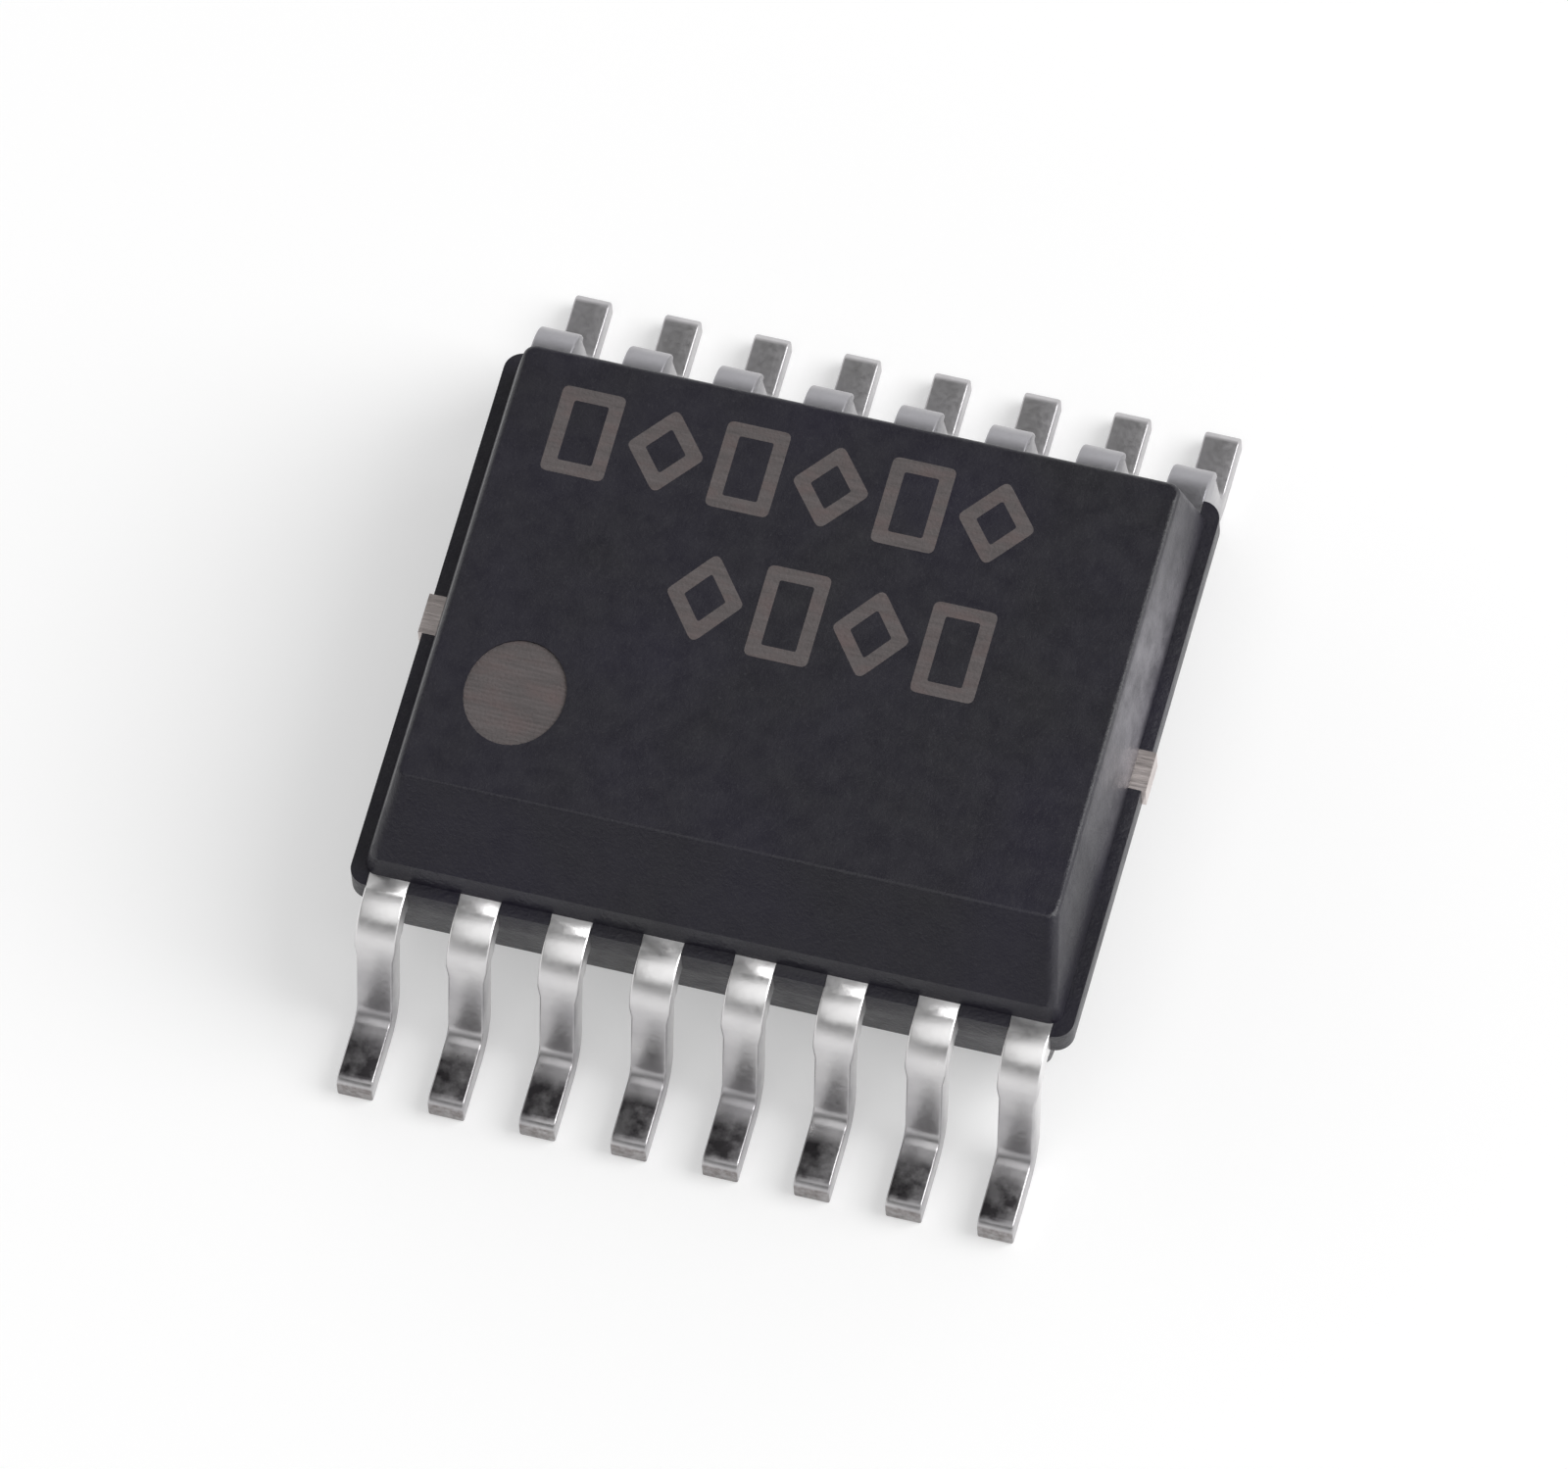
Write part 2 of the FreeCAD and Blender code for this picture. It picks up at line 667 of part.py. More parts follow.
def build():
    numbers = range(1, 2 * LEADS_PER_SIDE + 1)
    form = moulding()
    leads = [lead(number) for number in numbers]
    paddle = die_paddle()
    attach = die_attach()
    die = silicon_die()
    wires = [bond_wire(number) for number in numbers]
    held = leads + [paddle, attach, die] + wires
    resin = mould_body(form, held)
    doc.recompute()
    return [resin] + held


def check(pieces):
    """Stops if any object of the document failed, or a piece isn't one valid solid."""
    for item in doc.Objects:
        if "Invalid" in item.State or "Error" in item.State:
            raise RuntimeError(f"{item.Name} failed: {item.State}")
    for piece in pieces:
        shape = piece.Shape
        if shape.isNull() or not shape.isValid() or len(shape.Solids) != 1:
            raise RuntimeError(f"{piece.Label} isn't one valid solid")


def write(pieces):
    os.makedirs("parts", exist_ok=True)
    for piece in pieces:
        piece.Shape.exportStep(f"parts/{piece.Label}.step")


pieces = build()
check(pieces)
write(pieces)
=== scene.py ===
import math
from types import SimpleNamespace

import bmesh
import bpy
from mathutils import Matrix, Vector


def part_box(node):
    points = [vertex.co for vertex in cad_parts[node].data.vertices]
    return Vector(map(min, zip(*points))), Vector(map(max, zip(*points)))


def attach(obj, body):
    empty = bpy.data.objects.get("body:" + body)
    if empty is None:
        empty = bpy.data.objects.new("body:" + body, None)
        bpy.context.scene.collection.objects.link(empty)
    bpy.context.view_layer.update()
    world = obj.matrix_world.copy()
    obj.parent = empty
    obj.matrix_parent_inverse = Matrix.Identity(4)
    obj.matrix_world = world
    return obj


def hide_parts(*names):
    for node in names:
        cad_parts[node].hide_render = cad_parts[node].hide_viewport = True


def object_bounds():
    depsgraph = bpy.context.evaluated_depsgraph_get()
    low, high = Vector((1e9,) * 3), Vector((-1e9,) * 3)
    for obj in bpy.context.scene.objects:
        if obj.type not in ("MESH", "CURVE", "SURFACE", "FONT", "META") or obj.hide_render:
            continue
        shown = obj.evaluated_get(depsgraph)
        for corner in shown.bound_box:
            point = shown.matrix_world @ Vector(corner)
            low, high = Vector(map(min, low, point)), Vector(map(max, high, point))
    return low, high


# A moulded 16-lead shrink small-outline chip on white paper. Blender's unit is the metre, and lengths are
# worked out in millimetres.

MM = 0.001

# What the frame gives, read once
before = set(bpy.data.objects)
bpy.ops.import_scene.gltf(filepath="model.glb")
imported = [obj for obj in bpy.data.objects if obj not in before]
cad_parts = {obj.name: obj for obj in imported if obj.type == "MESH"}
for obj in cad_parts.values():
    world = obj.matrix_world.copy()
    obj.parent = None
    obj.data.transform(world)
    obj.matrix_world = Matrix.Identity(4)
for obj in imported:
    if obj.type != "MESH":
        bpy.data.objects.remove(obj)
cad_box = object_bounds()
LEADS = sorted(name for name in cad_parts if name.startswith("lead_"))
WIRES = sorted(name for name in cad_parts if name.startswith("bond_wire_"))

# Edge softening, in millimetres
BODY_EDGE = 0.011
LEAD_EDGE = 0.018
TOE_EDGE = 0.08
EDGE_STEPS = 3
TOE_STEPS = 6
SHARP_ANGLE = math.radians(24)
SMOOTH_ANGLE = math.radians(32)
WELD = 2e-4
FLAT_ANGLE = math.radians(0.4)

# Where the body's outer edges lie: at least so long, and so near to its ends, sides, underside and top
SHORT_EDGE = 0.25
END_ZONE = 0.40
SIDE_ZONE = 0.55
UNDERSIDE_ZONE = 0.01
TOP_ZONE = 0.06

# Painted highlight, a pale sheen on the right end's upper wall: how far past the top face and above the band
# it sets in, its middle, and how it fades to either side of that
SHEEN_PAST_TOP = (0.014, 0.044)
SHEEN_ABOVE_BAND = (0.0, 0.08)
SHEEN_MIDDLE = 0.50
SHEEN_FADE = (0.30, 1.45)

# Plating: how far out from the resin the shoulders' painted highlight and painted shade fade, how far past
# the heel and above the foot's upper face the painted dark reflection on the front feet sets in and ends,
# and how deep the cut toes' tone goes
SHOULDER_LIGHT_FADE = (0.22, 0.40)
FOOT_SHADE_PAST_HEEL = (0.04, 0.13)
FOOT_SHADE_ABOVE_FOOT = (0.02, 0.07)
CUT_DEPTH = (0.004, 0.012)

# Colours in linear light, each pair as the two tones that a surface varies between
RESIN_TONES = ((0.0095, 0.0088, 0.0132), (0.0105, 0.0088, 0.0190))
FILLER = (0.045, 0.042, 0.050)
# Painted highlight: the pale sheen painted on the right end's upper wall
PAINTED_SHEEN = (0.165, 0.158, 0.176)
ETCH_TONES = ((0.080, 0.070, 0.070), (0.113, 0.098, 0.098))
ETCH_BROWN = (0.115, 0.083, 0.081)
TIN_TONES = ((0.56, 0.55, 0.555), (0.44, 0.43, 0.445))
# Painted shade on the back shoulders and a painted highlight on the front ones
BACK_SHOULDER_SHADE = (0.34, 0.335, 0.355)
FRONT_SHOULDER_HIGHLIGHT = (0.90, 0.89, 0.89)
# Painted dark reflection on the upper faces of the front feet
FRONT_FOOT_SHADE = (0.075, 0.070, 0.075)
CUT_TOE = (0.19, 0.17, 0.165)
COPPER_TONES = ((0.80, 0.73, 0.71), (0.58, 0.52, 0.50))
ADHESIVE_TONES = ((0.62, 0.62, 0.60), (0.32, 0.32, 0.33))
SAWN_SILICON = (0.085, 0.085, 0.095)
CIRCUIT_TONES = ((0.10, 0.13, 0.20), (0.16, 0.12, 0.20))
CIRCUIT_LINES = (0.42, 0.40, 0.34)
GOLD_TONES = ((1.0, 0.74, 0.30), (0.86, 0.60, 0.22))
WHITE = (1.0, 1.0, 1.0)

# Laser marking on the top face, in millimetres from the middle of the chip: two kinds of mark take turns
ROWS = {
    "laser_marks_row_1": {
        "start": -1.73, "middle": 1.27, "height": 0.66, "count": 6, "kinds": ("rectangle", "diamond"),
    },
    "laser_marks_row_2": {
        "start": -0.61, "middle": 0.26, "height": 0.70, "count": 4, "kinds": ("diamond", "rectangle"),
    },
}
MARK_SHAPES = {
    "rectangle": ((-1, -1), (1, -1), (1, 1), (-1, 1)),
    "diamond": ((0, -1), (1, 0), (0, 1), (-1, 0)),
}
MARK_WIDTHS = {"rectangle": 0.44, "diamond": 0.54}
MARK_STROKE = 0.10
MARK_PITCH = 0.575
MARK_CORNER = 0.05
MARK_INNER_CORNER = MARK_CORNER / 3
CORNER_STEPS = 4
MARK_DEPTH = 0.002
MARK_PROUD = 0.001

# Pin-one dot: the depth of its recess, a margin inside the body's sides that it lies within, its stretch
# along Y, and how much of the recess its disc fills
DOT_DEPTH = 0.015
DOT_MARGIN = 0.30
DOT_STRETCH = 1.15
DOT_REACH = 0.995
DOT_COLUMNS = 24

# Lines that the laser scored across the dot. Two waves, in radians for each millimetre, make them uneven.
SCORE_LINES = 23
SCORE_STEPS = 4
SCORE_HEIGHT = 0.0028
SCORE_MEAN = 0.75
SCORE_SWING = 0.25
SCORE_WAVES = (Vector((17, 5)), Vector((-7, 29)))

# Camera: it looks down at the aim point from the front right, and is turned about its own axis
CAMERA_AIM = Vector((0.017, -0.172, 0.85)) * MM
CAMERA_AZIMUTH = math.radians(19.36)
CAMERA_ELEVATION = math.radians(62.93)
CAMERA_ROLL = math.radians(4.98)
CAMERA_DISTANCE = 136.2 * MM
LENS = 465.0
SENSOR = 36.0
CLIP_NEAR = 0.005
CLIP_FAR = 20.0

# Studio, in metres: the paper, a surround that grows dim along its tilt, and the lamps' distance
FLOOR_SIZE = 3.0
FLOOR_WHITE = 0.62
FLOOR_GLOW = 0.41
SKY_TILT = Vector((0, -0.20, 1))
SKY_BRIGHT = 1.15
SKY_DIM = 0.04
SKY_FADE = (0.10, 0.78)
LAMP_DISTANCE = 0.30

# A soft lamp at the right, and a larger and weaker one high up at the front: azimuth and elevation in
# degrees, size in metres, and brightness
LAMPS = {
    "key_lamp": (15, 42, 0.24, 3.9),
    "front_lamp": (280, 75, 0.30, 0.95),
}


def node_points(name):
    """The points of a CAD node's mesh, in millimetres."""
    return [vert.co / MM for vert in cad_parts[name].data.vertices]


def measure_chip():
    """The places that pieces and materials share, in millimetres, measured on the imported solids."""
    body_low, body_high = [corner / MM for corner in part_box("mould_body")]
    toe = cad_box[1].y / MM
    body = node_points("mould_body")
    lead = node_points(LEADS[0])
    return SimpleNamespace(
        body_low=body_low,
        body_high=body_high,
        band_top=max(point.z for point in body if point.x > body_high.x - WELD),
        top_face_end=max(point.x for point in body if point.z > body_high.z - WELD),
        toe=toe,
        foot_top=max(point.z for point in lead if abs(point.y) > toe - WELD),
        heel_end=min(abs(point.y) for point in lead if point.z < WELD),
    )


def add_node(tree, kind, inputs=None, **settings):
    """A shader node with its settings, and its sockets set to values or joined to other sockets."""
    node = tree.nodes.new("ShaderNode" + kind)
    for name, value in settings.items():
        setattr(node, name, value)
    for key, value in (inputs or {}).items():
        if isinstance(value, bpy.types.NodeSocket):
            tree.links.new(value, node.inputs[key])
        else:
            node.inputs[key].default_value = value
    return node


def new_material(name):
    """An empty material with one Principled shader: (material, its tree, the shader)."""
    material = bpy.data.materials.new(name)
    material.use_nodes = True
    tree = material.node_tree
    tree.nodes.clear()
    shader = add_node(tree, "BsdfPrincipled")
    add_node(tree, "OutputMaterial", {"Surface": shader.outputs["BSDF"]})
    return material, tree, shader


def millimetres(tree, stretch=(1, 1, 1)):
    """The place on the object in millimetres, times a stretch along each axis."""
    place = add_node(tree, "TexCoord").outputs["Object"]
    scale = Vector(stretch) / MM
    return add_node(tree, "Mapping", {"Vector": place, "Scale": scale}).outputs["Vector"]


def noise(tree, place, scale, detail=3.0, roughness=0.55):
    """Soft noise from 0 to 1, with its scale in waves for each millimetre."""
    inputs = {"Vector": place, "Scale": scale, "Detail": detail, "Roughness": roughness}
    return add_node(tree, "TexNoise", inputs).outputs["Fac"]


def spread(tree, value, low, high, start=0.3, end=0.7):
    """A value between start and end, spread to run from low to high."""
    inputs = {"Value": value, "From Min": start, "From Max": end, "To Min": low, "To Max": high}
    return add_node(tree, "MapRange", inputs).outputs["Result"]


def rise(tree, value, start, end):
    """0 up to start, and 1 from end on."""
    return spread(tree, value, 0.0, 1.0, start, end)


def fade(tree, value, start, end):
    """1 up to start, and 0 from end on."""
    return spread(tree, value, 1.0, 0.0, start, end)


def opaque(colour):
    """A colour with full alpha. A socket stays as it is."""
    return colour if isinstance(colour, bpy.types.NodeSocket) else (*colour, 1.0)


def blend_colours(tree, share, first, second):
    """The first colour where share is 0 and the second where it is 1."""
    inputs = {0: share, 6: opaque(first), 7: opaque(second)}
    return add_node(tree, "Mix", inputs, data_type="RGBA").outputs[2]


def vary(tree, waves, tones):
    """A colour that runs from one tone to the other with a noise's waves."""
    return blend_colours(tree, spread(tree, waves, 0.0, 1.0), *tones)


def calculate(tree, operation, first, second):
    """The result of one operation on two values or sockets."""
    return add_node(tree, "Math", {0: first, 1: second}, operation=operation).outputs[0]


def multiply(tree, first, *others):
    """The product of values or sockets."""
    product = first
    for other in others:
        product = calculate(tree, "MULTIPLY", product, other)
    return product


def subtract(tree, first, second):
    """The first value or socket less the second."""
    return calculate(tree, "SUBTRACT", first, second)


def add(tree, first, second):
    """The sum of two values or sockets."""
    return calculate(tree, "ADD", first, second)


def size_of(tree, value):
    """A value or socket without its sign."""
    return calculate(tree, "ABSOLUTE", value, 0.0)


def axes_of(tree, vector):
    """A vector's X, Y and Z sockets by name."""
    return add_node(tree, "SeparateXYZ", {"Vector": vector}).outputs


def surface_normal(tree):
    """The X, Y and Z of the direction that the surface faces."""
    return axes_of(tree, add_node(tree, "TexCoord").outputs["Normal"])


def add_bump(tree, shader, heights, depth):
    """Bumps from a height, that many millimetres deep for each 1 of it."""
    inputs = {"Height": heights, "Distance": depth * MM, "Strength": 1.0}
    bump = add_node(tree, "Bump", inputs)
    tree.links.new(bump.outputs["Normal"], shader.inputs["Normal"])


def end_painted_sheen(tree, place):
    """How strong the painted highlight is: pale patches of sheen round the middle of the right end's upper
    wall.
    """
    axes = axes_of(tree, place)
    past_top = rise(tree, subtract(tree, axes["X"], chip.top_face_end), *SHEEN_PAST_TOP)
    above_band = rise(tree, subtract(tree, axes["Z"], chip.band_top), *SHEEN_ABOVE_BAND)
    near_middle = fade(tree, size_of(tree, subtract(tree, axes["Y"], SHEEN_MIDDLE)), *SHEEN_FADE)
    patches = spread(tree, noise(tree, place, 4.0, 4.0, 0.6), 0.45, 1.0, 0.35, 0.62)
    return multiply(tree, past_top, above_band, near_middle, patches)


def moulding_resin():
    """Black epoxy with a violet cast and pale filler grains: matt, fine on top and coarser on its walls."""
    material, tree, shader = new_material("moulding_resin_dressed")
    place = millimetres(tree)
    grain = noise(tree, place, 38.0, 2.0, 0.7)
    mottle = noise(tree, place, 7.0, 3.0, 0.6)
    tone = vary(tree, noise(tree, place, 0.9, 2.0), RESIN_TONES)
    tone = blend_colours(tree, spread(tree, grain, 0.0, 0.18, 0.55, 0.75), tone, FILLER)
    # Paints a pale highlight on the right end's upper wall
    tone = blend_colours(tree, end_painted_sheen(tree, place), tone, PAINTED_SHEEN)
    tree.links.new(tone, shader.inputs["Base Color"])
    tree.links.new(spread(tree, mottle, 0.34, 0.46), shader.inputs["Roughness"])
    shader.inputs["IOR"].default_value = 1.53
    walls = spread(tree, size_of(tree, surface_normal(tree)["Z"]), 1.3, 0.0, 0.35, 0.6)
    coarse = multiply(tree, noise(tree, place, 13.0, 2.0, 0.6), walls)
    fine = add(tree, multiply(tree, mottle, 0.5), grain)
    add_bump(tree, shader, add(tree, fine, coarse), 0.004)
    return material


def laser_etch():
    """Resin burnt pale by a laser: dull grey with fine streaks along the chip and a trace of brown."""
    material, tree, shader = new_material("laser_etch")
    streaks = noise(tree, millimetres(tree, (1.0, 9.0, 1.0)), 3.2, 3.0, 0.6)
    stain = noise(tree, millimetres(tree, (1.0, 2.0, 1.0)), 4.0, 2.0)
    grain = noise(tree, millimetres(tree), 45.0, 2.0)
    tone = vary(tree, streaks, ETCH_TONES)
    tone = blend_colours(tree, spread(tree, stain, 0.0, 0.7, 0.45, 0.75), tone, ETCH_BROWN)
    tree.links.new(tone, shader.inputs["Base Color"])
    tree.links.new(spread(tree, grain, 0.72, 0.9), shader.inputs["Roughness"])
    add_bump(tree, shader, add(tree, multiply(tree, streaks, 0.6), grain), 0.006)
    return material


def front_foot_painted_shade(tree, place):
    """How strong the painted dark reflection is: patches of it on the upper faces of the front row's feet
    alone.
    """
    axes = axes_of(tree, place)
    past_heel = rise(tree, subtract(tree, -chip.heel_end, axes["Y"]), *FOOT_SHADE_PAST_HEEL)
    low_down = fade(tree, subtract(tree, axes["Z"], chip.foot_top), *FOOT_SHADE_ABOVE_FOOT)
    upward = rise(tree, surface_normal(tree)["Z"], 0.85, 0.97)
    patches = spread(tree, noise(tree, place, 7.0, 3.0, 0.6), 0.5, 1.0, 0.35, 0.6)
    return multiply(tree, past_heel, low_down, upward, patches)


def tin_tone(tree, place, cloud, grain):
    """Tin in clouds, a painted highlight on the front shoulders and painted shade on the back ones, cut grey
    at toes.
    """
    across = axes_of(tree, place)["Y"]
    reach = size_of(tree, across)
    resin = chip.body_high.y
    # Paints a highlight on the front shoulders and shade on the back ones, fading out from the resin
    beside_resin = fade(tree, subtract(tree, reach, resin), *SHOULDER_LIGHT_FADE)
    at_front = fade(tree, across, -resin, resin)
    shoulder_light = blend_colours(tree, at_front, BACK_SHOULDER_SHADE, FRONT_SHOULDER_HIGHLIGHT)
    tone = blend_colours(tree, beside_resin, vary(tree, cloud, TIN_TONES), shoulder_light)
    # Paints a dark reflection on the upper faces of the front feet
    tone = blend_colours(tree, front_foot_painted_shade(tree, place), tone, FRONT_FOOT_SHADE)
    cut = fade(tree, subtract(tree, chip.toe, reach), *CUT_DEPTH)
    return blend_colours(tree, multiply(tree, cut, spread(tree, grain, 0.45, 0.95)), tone, CUT_TOE)


def plated_lead():
    """Satin tin plating with soft clouds and faint rolling lines across the leads."""
    material, tree, shader = new_material("plated_lead_dressed")
    place = millimetres(tree)
    cloud = noise(tree, place, 2.6, 3.0)
    grain = noise(tree, place, 26.0, 2.0)
    rolled = noise(tree, millimetres(tree, (9.0, 1.0, 1.0)), 3.0, 2.0)
    tree.links.new(tin_tone(tree, place, cloud, grain), shader.inputs["Base Color"])
    shader.inputs["Metallic"].default_value = 1.0
    gloss = add(tree, spread(tree, cloud, 0.29, 0.39), spread(tree, grain, -0.03, 0.05))
    tree.links.new(gloss, shader.inputs["Roughness"])
    add_bump(tree, shader, add(tree, multiply(tree, rolled, 0.5), grain), 0.0008)
    return material


def bare_copper():
    """Bare rolled copper alloy, dulled in patches, on the paddle and the cut ends of its tie bars."""
    material, tree, shader = new_material("paddle_copper_dressed")
    place = millimetres(tree)
    stain = noise(tree, place, 5.0, 4.0)
    lines = noise(tree, millimetres(tree, (1.0, 14.0, 1.0)), 4.0, 2.0)
    tree.links.new(vary(tree, stain, COPPER_TONES), shader.inputs["Base Color"])
    shader.inputs["Metallic"].default_value = 1.0
    tree.links.new(spread(tree, lines, 0.32, 0.5), shader.inputs["Roughness"])
    add_bump(tree, shader, lines, 0.003)
    return material


def die_adhesive():
    """Silver-filled epoxy: grey, grainy and half matt."""
    material, tree, shader = new_material("die_adhesive_dressed")
    voronoi = add_node(tree, "TexVoronoi", {"Vector": millimetres(tree), "Scale": 60.0})
    flakes = voronoi.outputs["Distance"]
    tone = blend_colours(tree, rise(tree, flakes, 0.1, 0.7), *ADHESIVE_TONES)
    tree.links.new(tone, shader.inputs["Base Color"])
    shader.inputs["Metallic"].default_value = 0.6
    tree.links.new(spread(tree, flakes, 0.35, 0.6), shader.inputs["Roughness"])
    add_bump(tree, shader, flakes, 0.003)
    return material


def silicon():
    """Polished silicon: blue-grey circuit blocks on its top, and plain dark grey at its sawn sides."""
    material, tree, shader = new_material("silicon_dressed")
    place = millimetres(tree)
    inputs = {"Vector": place, "Scale": 5.0, "Mortar Size": 0.03, "Mortar": opaque(CIRCUIT_LINES)}
    for name, tone in zip(("Color1", "Color2"), CIRCUIT_TONES):
        inputs[name] = opaque(tone)
    blocks = add_node(tree, "TexBrick", inputs)
    upward = rise(tree, surface_normal(tree)["Z"], 0.6, 0.8)
    tone = blend_colours(tree, upward, SAWN_SILICON, blocks.outputs["Color"])
    tree.links.new(tone, shader.inputs["Base Color"])
    shader.inputs["Metallic"].default_value = 0.4
    fine = noise(tree, place, 20.0, 2.0)
    tree.links.new(spread(tree, fine, 0.12, 0.25), shader.inputs["Roughness"])
    return material


def bond_gold():
    """Drawn gold wire with a soft sheen."""
    material, tree, shader = new_material("bond_gold_dressed")
    fine = noise(tree, millimetres(tree), 24.0, 2.0)
    tree.links.new(vary(tree, fine, GOLD_TONES), shader.inputs["Base Color"])
    shader.inputs["Metallic"].default_value = 1.0
    tree.links.new(spread(tree, fine, 0.16, 0.3), shader.inputs["Roughness"])
    return material


def dress(node_name, material):
    """Gives a CAD node a finished material and leaves its shape as it is."""
    for material_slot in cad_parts[node_name].material_slots:
        material_slot.material = material


def new_piece(name, bm, material):
    """A mesh piece from bmesh in millimetres, riding on the chip."""
    bmesh.ops.scale(bm, vec=(MM, MM, MM), verts=bm.verts)
    mesh = bpy.data.meshes.new(name)
    bm.to_mesh(mesh)
    bm.free()
    mesh.materials.append(material)
    piece = bpy.data.objects.new(name, mesh)
    bpy.context.scene.collection.objects.link(piece)
    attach(piece, "root")
    return piece


def welded_copy(node_name):
    """A CAD node's mesh as bmesh in millimetres, with its seams welded and its flat faces whole."""
    bm = bmesh.new()
    bm.from_mesh(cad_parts[node_name].data)
    bmesh.ops.scale(bm, vec=(1 / MM, 1 / MM, 1 / MM), verts=bm.verts)
    bmesh.ops.remove_doubles(bm, verts=bm.verts, dist=WELD)
    bmesh.ops.dissolve_limit(bm, angle_limit=FLAT_ANGLE, verts=bm.verts, edges=bm.edges)
    return bm


def soften(bm, edges, width, steps):
    """Rounds the given edges and shades the result smooth up to the smoothing angle."""
    bmesh.ops.bevel(
        bm, geom=edges, offset=width, offset_type="OFFSET", segments=steps, profile=0.5,
        affect="EDGES", clamp_overlap=True, loop_slide=True,
    )
    for face in bm.faces:
        face.smooth = True
    for edge in bm.edges:
        edge.smooth = edge.calc_face_angle(0.0) < SMOOTH_ANGLE


def weight_normals(piece):
    """Keeps the flat faces flat beside the rounded edges."""
    modifier = piece.modifiers.new("weighted_normals", "WEIGHTED_NORMAL")
    modifier.keep_sharp = True


def is_sharp(edge):
    """Whether two faces meet along the edge at more than the sharp angle."""
    return edge.is_manifold and edge.calc_face_angle() > SHARP_ANGLE


def stand_in(node_name, passes, material, reshape=None):
    """Shows a piece in a CAD node's place: the node's own form, with its edges softened pass by pass."""
    bm = welded_copy(node_name)
    if reshape:
        reshape(bm)
    for pick_edges, width, steps in passes:
        soften(bm, pick_edges(bm), width, steps)
    piece = new_piece(node_name + "_finish", bm, material)
    weight_normals(piece)
    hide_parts(node_name)


def long_outer_edges(bm):
    """The body's outer edges that run along its sides, and none of those at the leads or inside."""
    end_zone = chip.body_high.x - END_ZONE
    side_zone = chip.body_high.y - SIDE_ZONE
    underside_zone = chip.body_low.z + UNDERSIDE_ZONE
    top_zone = chip.body_high.z - TOP_ZONE
    picked = []
    for edge in bm.edges:
        if not is_sharp(edge) or edge.calc_length() < SHORT_EDGE:
            continue
        ends = [vert.co for vert in edge.verts]
        near_side = all(abs(end.x) > end_zone or abs(end.y) > side_zone for end in ends)
        near_face = all(end.z < underside_zone or end.z > top_zone for end in ends)
        if near_side or near_face:
            picked.append(edge)
    return picked


def toe_upper_edge(bm):
    """The edge across the top of a lead's toe."""
    picked = []
    for edge in bm.edges:
        ends = [vert.co for vert in edge.verts]
        if all(abs(end.y) > chip.toe - WELD and end.z > chip.foot_top - WELD for end in ends):
            picked.append(edge)
    return picked


def lead_outer_edges(bm):
    """The sharp edges of a lead outside the resin."""
    resin = chip.body_high.y
    sharp = [edge for edge in bm.edges if is_sharp(edge)]
    return [edge for edge in sharp if all(abs(vert.co.y) > resin for vert in edge.verts)]


def rounded_outline(corners, radius):
    """An outline's points with each corner turned into a curve of about that radius."""
    points = []
    count = len(corners)
    for index, corner in enumerate(corners):
        before = (corners[index - 1] - corner).normalized()
        after = (corners[(index + 1) % count] - corner).normalized()
        half = before.angle(after) / 2
        reach = radius / math.tan(half)
        start = corner + before * reach
        end = corner + after * reach
        for step in range(CORNER_STEPS + 1):
            share = step / CORNER_STEPS
            points.append(start.lerp(corner, share).lerp(corner.lerp(end, share), share))
    return points


def mark_corners(kind, centre, half):
    """The corners of a rectangle or a diamond of that half width and half height."""
    return [centre + Vector((x * half.x, y * half.y, 0)) for x, y in MARK_SHAPES[kind]]


def inside_stroke(kind, half):
    """Half the width and height of what a stroke leaves open inside a mark."""
    if kind == "rectangle":
        return half - Vector((MARK_STROKE, MARK_STROKE))
    side_distance = half.x * half.y / half.length
    return half * (1 - MARK_STROKE / side_distance)


def add_ring(bm, outer, inner, bottom, top):
    """A flat closed ring between two outlines with as many points each."""
    loops = []
    for outline, level in ((outer, top), (inner, top), (inner, bottom), (outer, bottom)):
        loops.append([bm.verts.new((point.x, point.y, level)) for point in outline])
    count = len(outer)
    for first, second in zip(loops, loops[1:] + loops[:1]):
        for index in range(count):
            after = (index + 1) % count
            bm.faces.new((first[index], first[after], second[after], second[index]))


def laser_marks(material):
    """Two rows of plain open rectangles and diamonds, burnt into the top face."""
    top = chip.body_high.z
    for name, row in ROWS.items():
        bm = bmesh.new()
        for index in range(row["count"]):
            centre = Vector((row["start"] + index * MARK_PITCH, row["middle"], 0))
            kind = row["kinds"][index % 2]
            half = Vector((MARK_WIDTHS[kind] / 2, row["height"] / 2))
            inner_half = inside_stroke(kind, half)
            outer = rounded_outline(mark_corners(kind, centre, half), MARK_CORNER)
            inner = rounded_outline(mark_corners(kind, centre, inner_half), MARK_INNER_CORNER)
            add_ring(bm, outer, inner, top - MARK_DEPTH, top)
        bmesh.ops.recalc_face_normals(bm, faces=bm.faces)
        new_piece(name, bm, material)


def recess_frame():
    """The middle of the floor of the recess at pin one, and half its width, in millimetres."""
    floor = chip.body_high.z - DOT_DEPTH
    end = chip.body_high.x - DOT_MARGIN
    side = chip.body_high.y - DOT_MARGIN
    rim = []
    for point in node_points("mould_body"):
        if abs(point.z - floor) < DOT_DEPTH / 10 and abs(point.x) < end and abs(point.y) < side:
            rim.append(point)
    low = Vector([min(point[axis] for point in rim) for axis in range(3)])
    high = Vector([max(point[axis] for point in rim) for axis in range(3)])
    return (low + high) / 2, (high.x - low.x) / 2


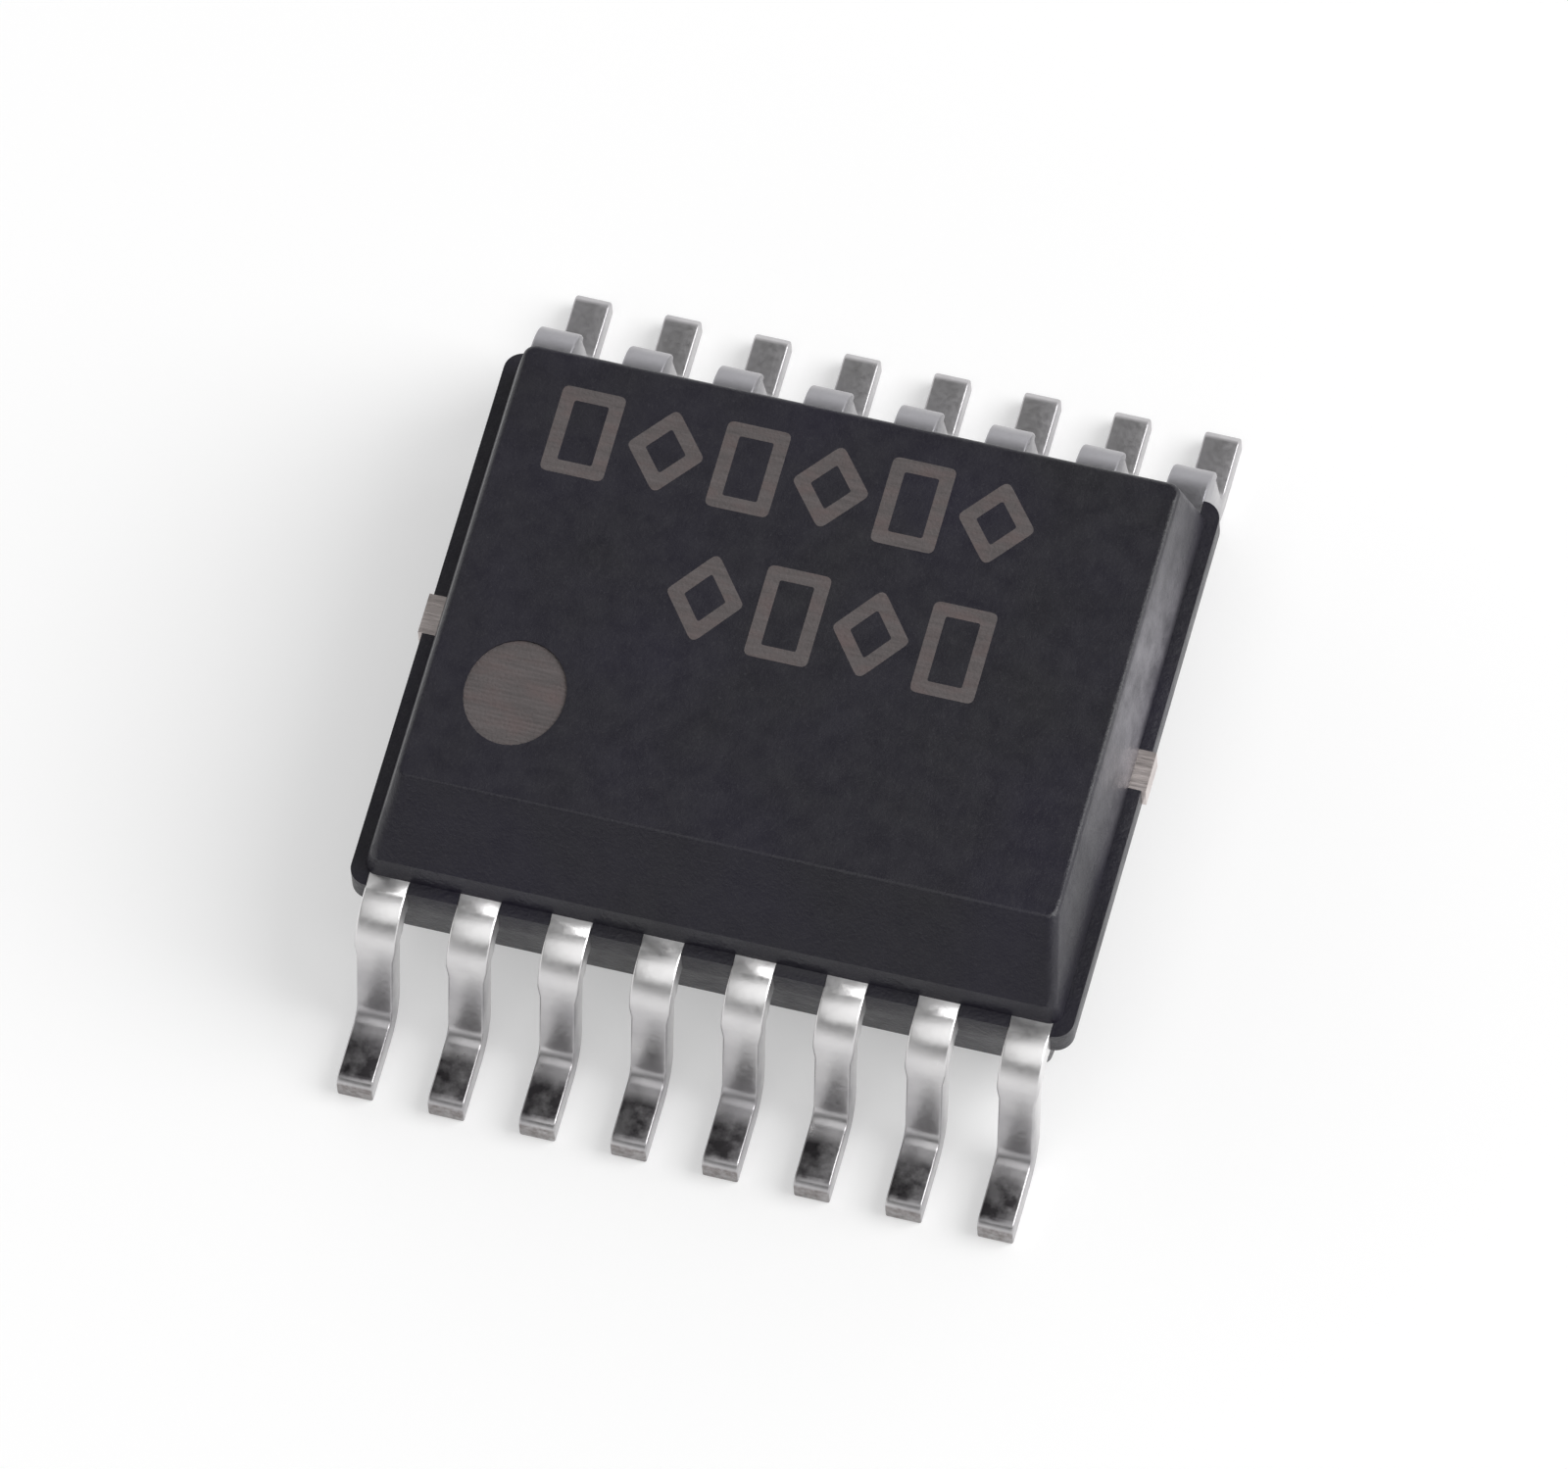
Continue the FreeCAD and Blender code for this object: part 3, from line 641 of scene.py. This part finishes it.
def shape_top_face(bm):
    """Sinks the top face by the height of the marks, and draws the round recess out along Y into an oval."""
    centre, radius = recess_frame()
    for vert in bm.verts:
        offset = vert.co - centre
        if vert.co.z > chip.body_high.z - WELD:
            vert.co.z -= MARK_PROUD
        if abs(offset.z) < 2 * DOT_DEPTH and offset.to_2d().length < radius + DOT_DEPTH:
            vert.co.y = centre.y + offset.y * DOT_STRETCH


def scored_rows(bm, centre, radius):
    """Rows of points across the oval, in low even ridges along X as the laser leaves them."""
    rows = []
    count = SCORE_LINES * SCORE_STEPS
    for row in range(count + 1):
        share = DOT_REACH * (2 * row / count - 1)
        chord = radius * math.sqrt(1 - share ** 2)
        y = centre.y + radius * DOT_STRETCH * share
        ridge = 0.5 - 0.5 * math.cos(2 * math.pi * row / SCORE_STEPS)
        points = []
        for column in range(DOT_COLUMNS + 1):
            x = centre.x + chord * (2 * column / DOT_COLUMNS - 1)
            waves = [math.sin(wave.dot(Vector((x, y)))) for wave in SCORE_WAVES]
            uneven = SCORE_MEAN + SCORE_SWING * math.prod(waves)
            level = centre.z + MARK_PROUD + SCORE_HEIGHT * ridge * uneven
            points.append(bm.verts.new((x, y, level)))
        rows.append(points)
    return rows


def pin_one_dot(material):
    """The burnt floor of the oval mark beside pin one: a thin closed disc with a scored face."""
    centre, radius = recess_frame()
    bm = bmesh.new()
    rows = scored_rows(bm, centre, radius)
    for first, second in zip(rows, rows[1:]):
        for column in range(DOT_COLUMNS):
            bm.faces.new((first[column], first[column + 1], second[column + 1], second[column]))
    right_side = [points[-1] for points in rows[1:-1]]
    left_side = [points[0] for points in rows[-2:0:-1]]
    rim = rows[0] + right_side + rows[-1][::-1] + left_side
    below = [bm.verts.new((vert.co.x, vert.co.y, centre.z - MARK_PROUD)) for vert in rim]
    for index in range(len(rim)):
        bm.faces.new((rim[index - 1], below[index - 1], below[index], rim[index]))
    bm.faces.new(below)
    bmesh.ops.recalc_face_normals(bm, faces=bm.faces)
    new_piece("pin_one_dot", bm, material)


def floor_material():
    """Matt white paper that keeps the chip's shadow, and shows white where it is lit."""
    material = bpy.data.materials.new("white_paper")
    material.use_nodes = True
    tree = material.node_tree
    tree.nodes.clear()
    matt = add_node(tree, "BsdfDiffuse", {"Color": opaque([FLOOR_WHITE] * 3)})
    path = add_node(tree, "LightPath").outputs
    seen = calculate(tree, "MAXIMUM", path["Is Camera Ray"], path["Is Glossy Ray"])
    seen = calculate(tree, "MAXIMUM", seen, path["Is Transmission Ray"])
    glow = add_node(tree, "Emission", {"Strength": multiply(tree, seen, FLOOR_GLOW)})
    both = add_node(tree, "AddShader", {0: matt.outputs[0], 1: glow.outputs[0]})
    add_node(tree, "OutputMaterial", {"Surface": both.outputs[0]})
    return material


def add_floor():
    """White paper under the chip, wide enough for every view."""
    bm = bmesh.new()
    bmesh.ops.create_grid(bm, x_segments=1, y_segments=1, size=FLOOR_SIZE / 2)
    mesh = bpy.data.meshes.new("paper_floor")
    bm.to_mesh(mesh)
    bm.free()
    mesh.materials.append(floor_material())
    paper = bpy.data.objects.new("paper_floor", mesh)
    bpy.context.scene.collection.objects.link(paper)


def add_world():
    """A white surround that is bright low down and at the back, and grows dim overhead and at the front."""
    world = bpy.data.worlds.new("studio_surround")
    bpy.context.scene.world = world
    world.use_nodes = True
    tree = world.node_tree
    tree.nodes.clear()
    direction = add_node(tree, "TexCoord").outputs["Generated"]
    dot = add_node(tree, "VectorMath", {0: direction, 1: SKY_TILT}, operation="DOT_PRODUCT")
    level = spread(tree, dot.outputs["Value"], SKY_BRIGHT, SKY_DIM, *SKY_FADE)
    light = add_node(tree, "Background", {"Color": opaque(WHITE), "Strength": level})
    add_node(tree, "OutputWorld", {"Surface": light.outputs[0]})


def add_softbox(name, azimuth, elevation, size, level):
    """A square lamp aimed at the chip. Azimuth is from +X towards +Y, and level is its brightness."""
    lamp = bpy.data.lights.new(name, "AREA")
    lamp.shape = "SQUARE"
    lamp.size = size
    lamp.energy = math.pi * size ** 2 * level
    lamp_object = bpy.data.objects.new(name, lamp)
    around = math.radians(azimuth)
    up = math.radians(elevation)
    way = Vector((math.cos(up) * math.cos(around), math.cos(up) * math.sin(around), math.sin(up)))
    lamp_object.location = way * LAMP_DISTANCE
    lamp_object.rotation_euler = way.to_track_quat("Z", "Y").to_euler()
    bpy.context.scene.collection.objects.link(lamp_object)


def add_camera():
    """The photograph's view: a long lens from the front right, high up."""
    camera = bpy.data.cameras.new("photo_camera")
    camera.sensor_fit = "HORIZONTAL"
    camera.sensor_width = SENSOR
    camera.lens = LENS
    camera.clip_start = CLIP_NEAR
    camera.clip_end = CLIP_FAR
    camera_object = bpy.data.objects.new("photo_camera", camera)
    back = Vector((
        math.cos(CAMERA_ELEVATION) * math.sin(CAMERA_AZIMUTH),
        -math.cos(CAMERA_ELEVATION) * math.cos(CAMERA_AZIMUTH),
        math.sin(CAMERA_ELEVATION),
    ))
    level_right = Vector((math.cos(CAMERA_AZIMUTH), math.sin(CAMERA_AZIMUTH), 0))
    level_up = back.cross(level_right)
    right = math.cos(CAMERA_ROLL) * level_right - math.sin(CAMERA_ROLL) * level_up
    up = back.cross(right)
    turn = Matrix((right, up, back)).transposed().to_4x4()
    camera_object.matrix_world = Matrix.Translation(CAMERA_AIM + back * CAMERA_DISTANCE) @ turn
    bpy.context.scene.collection.objects.link(camera_object)
    bpy.context.scene.camera = camera_object


def dress_chip():
    """Every visible piece, and a finished material on each sealed inner one."""
    resin = moulding_resin()
    etch = laser_etch()
    tin = plated_lead()
    body_passes = [(long_outer_edges, BODY_EDGE, EDGE_STEPS)]
    stand_in("mould_body", body_passes, resin, shape_top_face)
    lead_passes = [(toe_upper_edge, TOE_EDGE, TOE_STEPS), (lead_outer_edges, LEAD_EDGE, EDGE_STEPS)]
    for name in LEADS:
        stand_in(name, lead_passes, tin)
    laser_marks(etch)
    pin_one_dot(etch)
    dress("die_paddle", bare_copper())
    dress("die_attach", die_adhesive())
    dress("silicon_die", silicon())
    gold = bond_gold()
    for name in WIRES:
        dress(name, gold)


chip = measure_chip()
dress_chip()
add_floor()
add_world()
for lamp_name, settings in LAMPS.items():
    add_softbox(lamp_name, *settings)
add_camera()
bpy.context.scene.view_settings.view_transform = "Standard"
